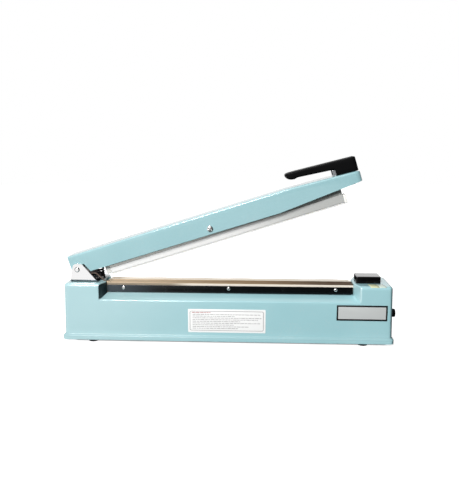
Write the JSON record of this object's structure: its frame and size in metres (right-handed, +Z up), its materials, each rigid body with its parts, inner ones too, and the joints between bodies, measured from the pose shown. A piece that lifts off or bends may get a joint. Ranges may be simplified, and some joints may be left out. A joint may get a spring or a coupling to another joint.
{
  "type": "hand impulse heat sealer",
  "caption": "Bench impulse heat sealer: painted steel base with a cloth-covered sealing bed, and a hinged arm that presses a silicone-faced bar and a switch button.",
  "frame": {"origin": "on the table under the middle of the whole object, timer knob included", "axes": "+X from the hinge to the switch button along the sealing bed, +Y away from the user, +Z up"},
  "size_m": [0.5582, 0.085, 0.3071],
  "materials": {
    "blue_paint": "smooth gloss enamel, light blue",
    "zinc_plate": "dull zinc plate",
    "foot_rubber": "matt dark rubber",
    "phenolic": "brown laminated board",
    "glass_tape": "woven glass tape",
    "nichrome": "heat-stained band",
    "coated_cloth": "brown coated glass cloth with a slight sheen",
    "black_paint": "gloss black enamel",
    "terminal_brass": "plain brass",
    "lead_sleeve": "woven sleeve",
    "bright_chrome": "bright plate",
    "spring_steel": "plain spring steel",
    "black_spring": "black oxide",
    "white_nylon": "white moulded nylon",
    "bar_aluminium": "drawn aluminium",
    "white_silicone": "white silicone rubber",
    "black_plastic": "black moulded plastic, fine satin",
    "gloss_black": "polished black plastic",
    "board_green": "green circuit board",
    "relay_blue": "blue moulded case",
    "red_lens": "red moulded lens",
    "core_laminations": "stacked sheet iron, varnished",
    "winding_copper": "enamelled copper under clear tape"
  },
  "bodies": {
    "base": {"housing": "blue_paint", "base_plate": "zinc_plate", "foot_front_left": "foot_rubber", "foot_front_right": "foot_rubber", "foot_rear_left": "foot_rubber", "foot_rear_right": "foot_rubber", "seal_bed": "phenolic", "bed_tape": "glass_tape", "heating_element": "nichrome", "ptfe_cloth": "coated_cloth", "clamp_strip_front": "black_paint", "clamp_strip_rear": "black_paint", "strip_screw_front_left": "zinc_plate", "strip_screw_front_middle": "zinc_plate", "strip_screw_front_right": "zinc_plate", "strip_screw_rear_left": "zinc_plate", "strip_screw_rear_middle": "zinc_plate", "strip_screw_rear_right": "zinc_plate", "element_terminal_left": "terminal_brass", "element_terminal_right": "terminal_brass", "heater_lead_left": "lead_sleeve", "heater_lead_right": "lead_sleeve", "hinge_bracket": "bright_chrome", "bracket_screw_front": "bright_chrome", "bracket_screw_rear": "bright_chrome", "hinge_pin": "bright_chrome", "hinge_pin_clip": "spring_steel", "return_spring": "black_spring", "button_guide": "white_nylon", "button_spring": "spring_steel", "microswitch": "black_plastic", "switch_bracket": "zinc_plate", "timer_board": "board_green", "timer_pot": "spring_steel", "pot_nut": "zinc_plate", "board_relay": "relay_blue", "board_capacitor": "black_plastic", "pilot_lamp": "red_lens", "transformer_core": "core_laminations", "transformer_coil": "winding_copper", "transformer_strap": "zinc_plate", "cable_grommet": "foot_rubber"},
    "arm": {"arm_channel": "blue_paint", "hinge_washer_front": "white_nylon", "hinge_washer_rear": "white_nylon", "bar_pivot_screw": "zinc_plate", "bar_pivot_nut": "zinc_plate", "pressure_leaf": "spring_steel", "handle": "black_plastic", "handle_post": "zinc_plate", "handle_screw_inner": "zinc_plate", "handle_screw_outer": "zinc_plate", "switch_striker": "zinc_plate"},
    "slide_block": {"bar_slide_block": "white_nylon"},
    "pressing_bar": {"pressing_bar": "bar_aluminium", "bar_end_cap": "white_nylon", "silicone_strip": "white_silicone"},
    "switch_button": {"switch_button": "gloss_black"},
    "switch_plunger": {"switch_plunger": "red_lens"},
    "timer_knob": {"timer_knob": "black_plastic"}
  },
  "joints": [
    {"name": "arm_hinge", "type": "hinge", "parent": "base", "child": "arm", "pos_m": [-0.2546, 0, 0.1205], "axis": [0, 1, 0], "range_deg": [0, 18.57], "stiffness_Nm_per_rad": 4, "springref_deg": -63.03, "deforming": ["return_spring"]},
    {"name": "bar_tilt", "type": "hinge", "parent": "arm", "child": "slide_block", "pos_m": [-0.03162, 0, 0.19081], "axis": [0, 1, 0], "range_deg": [-1.08, 0]},
    {"name": "bar_float", "type": "slide", "parent": "slide_block", "child": "pressing_bar", "axis": [-0.3007, 0, 0.9537], "range_m": [0, 0.0082]},
    {"name": "button_press", "type": "slide", "parent": "base", "child": "switch_button", "axis": [0, 0, -1], "range_m": [0, 0.003], "stiffness_N_per_m": 400, "springref_m": -0.003, "deforming": ["button_spring"]},
    {"name": "plunger_press", "type": "slide", "parent": "base", "child": "switch_plunger", "axis": [0, 0, -1], "range_m": [0, 0.003]},
    {"name": "timer_knob_turn", "type": "hinge", "parent": "base", "child": "timer_knob", "pos_m": [0.2719, 0, 0.0463], "axis": [1, 0, 0], "range_deg": [-135, 135]}
  ],
  "couplings": [
    {"joint": "bar_tilt", "follows": "arm_hinge", "ratio": -0.057924},
    {"joint": "bar_float", "follows": "arm_hinge", "m_per_rad": 0.025267},
    {"joint": "plunger_press", "follows": "button_press", "ratio": 1}
  ]
}
